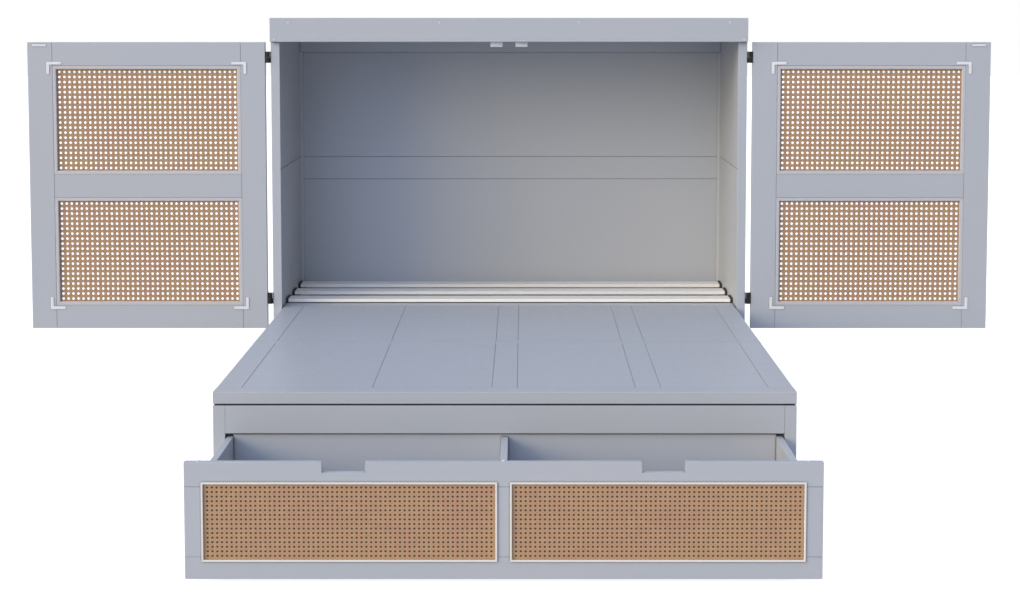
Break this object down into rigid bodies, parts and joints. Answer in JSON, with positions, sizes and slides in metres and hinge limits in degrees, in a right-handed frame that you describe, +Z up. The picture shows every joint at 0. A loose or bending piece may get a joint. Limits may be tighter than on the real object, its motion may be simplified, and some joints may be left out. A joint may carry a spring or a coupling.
{
  "type": "cabinet bed",
  "caption": "Queen-size bed that folds into a low two-door cabinet with cane panels, on a rolling base with a wide storage drawer.",
  "frame": {"origin": "on the floor at the middle of the whole opened-out object's width and depth", "axes": "+X to the right as one faces the cabinet, +Y from the drawer front to the cabinet's back, +Z up"},
  "size_m": [3.267, 2.365, 1.417],
  "materials": {
    "painted_board": "satin blue-grey paint",
    "woven_cane": "woven rattan cane webbing",
    "cream_bead": "cream painted bead",
    "white_bracket": "satin white",
    "black_steel": "black",
    "white_plastic": "moulded",
    "white_slat": "white-laminated bent ply",
    "black_rubber": "moulded",
    "wheel_nylon": "moulded",
    "felt_pad": "felt"
  },
  "bodies": {
    "cabinet": {"left_side_panel": "painted_board", "right_side_panel": "painted_board", "top_panel": "painted_board", "top_fascia": "painted_board", "front_top_batten": "painted_board", "back_lower_panel": "painted_board", "back_mid_rail": "painted_board", "back_upper_panel": "painted_board", "back_top_rail": "painted_board", "back_corner_battens": "painted_board", "slat_bearers": "painted_board", "slat_cross_rail": "painted_board", "bed_slats": "white_slat", "slat_end_caps": "black_rubber", "magnetic_catches": "white_plastic", "cabinet_hinge_leaves": "black_steel", "platform_pivots": "black_steel"},
    "left_door": {"left_door_cane_beads": "painted_board", "left_door_cane_panels": "woven_cane", "left_door_corner_brackets": "white_bracket", "left_door_end_rails": "painted_board", "left_door_hinge_leaves": "black_steel", "left_door_mid_rail": "painted_board", "left_door_stiles": "painted_board", "left_door_strike_plate": "white_bracket"},
    "right_door": {"right_door_cane_beads": "painted_board", "right_door_cane_panels": "woven_cane", "right_door_corner_brackets": "white_bracket", "right_door_end_rails": "painted_board", "right_door_hinge_leaves": "black_steel", "right_door_mid_rail": "painted_board", "right_door_stiles": "painted_board", "right_door_strike_plate": "white_bracket"},
    "rear_leaf": {"rear_fold_hinges": "black_steel", "rear_leaf_boards": "painted_board", "rear_leaf_frame": "painted_board"},
    "front_leaf": {"front_fold_hinges": "black_steel", "front_leaf_boards": "painted_board", "front_leaf_frame": "painted_board"},
    "base": {"base_sides": "painted_board", "base_front_rail": "painted_board", "base_back_panel": "painted_board", "base_support_pads": "felt_pad", "drawer_runners": "painted_board", "wheel_axles": "black_steel"},
    "front_wheels": {"front_wheels": "wheel_nylon"},
    "back_wheels": {"back_wheels": "wheel_nylon"},
    "drawer": {"drawer_back": "painted_board", "drawer_bead_frames": "cream_bead", "drawer_cane_backs": "painted_board", "drawer_cane_panels": "woven_cane", "drawer_divider": "painted_board", "drawer_floor": "painted_board", "drawer_low_rail": "painted_board", "drawer_sides": "painted_board", "drawer_stiles": "painted_board", "drawer_top_rail": "painted_board"}
  },
  "joints": [
    {"name": "left_door_hinge", "type": "hinge", "parent": "cabinet", "child": "left_door", "pos_m": [-0.8175, 0.5765, 0.845], "axis": [0, 0, 1], "range_deg": [0, 90]},
    {"name": "right_door_hinge", "type": "hinge", "parent": "cabinet", "child": "right_door", "pos_m": [0.8175, 0.5765, 0.845], "axis": [0, 0, -1], "range_deg": [0, 90]},
    {"name": "platform_lift", "type": "hinge", "parent": "cabinet", "child": "rear_leaf", "pos_m": [0, 0.6645, 0.41165], "axis": [-1, 0, 0], "range_deg": [0, 90]},
    {"name": "platform_fold", "type": "hinge", "parent": "rear_leaf", "child": "front_leaf", "pos_m": [0, -0.1135, 0.3954], "axis": [1, 0, 0], "range_deg": [0, 180]},
    {"name": "base_slide", "type": "slide", "parent": "cabinet", "child": "base", "axis": [0, 1, 0], "range_m": [0, 1.469]},
    {"name": "front_wheel_roll", "type": "hinge", "parent": "base", "child": "front_wheels", "pos_m": [0, -0.8365, 0.02], "axis": [-1, 0, 0], "continuous": true},
    {"name": "back_wheel_roll", "type": "hinge", "parent": "base", "child": "back_wheels", "pos_m": [0, -0.3865, 0.02], "axis": [-1, 0, 0], "continuous": true},
    {"name": "drawer_slide", "type": "slide", "parent": "base", "child": "drawer", "axis": [0, 1, 0], "range_m": [0, 0.267]}
  ],
  "couplings": [
    {"joint": "platform_fold", "follows": "platform_lift", "ratio": 2},
    {"joint": "front_wheel_roll", "follows": "base_slide", "rad_per_m": 50},
    {"joint": "back_wheel_roll", "follows": "base_slide", "rad_per_m": 50}
  ]
}
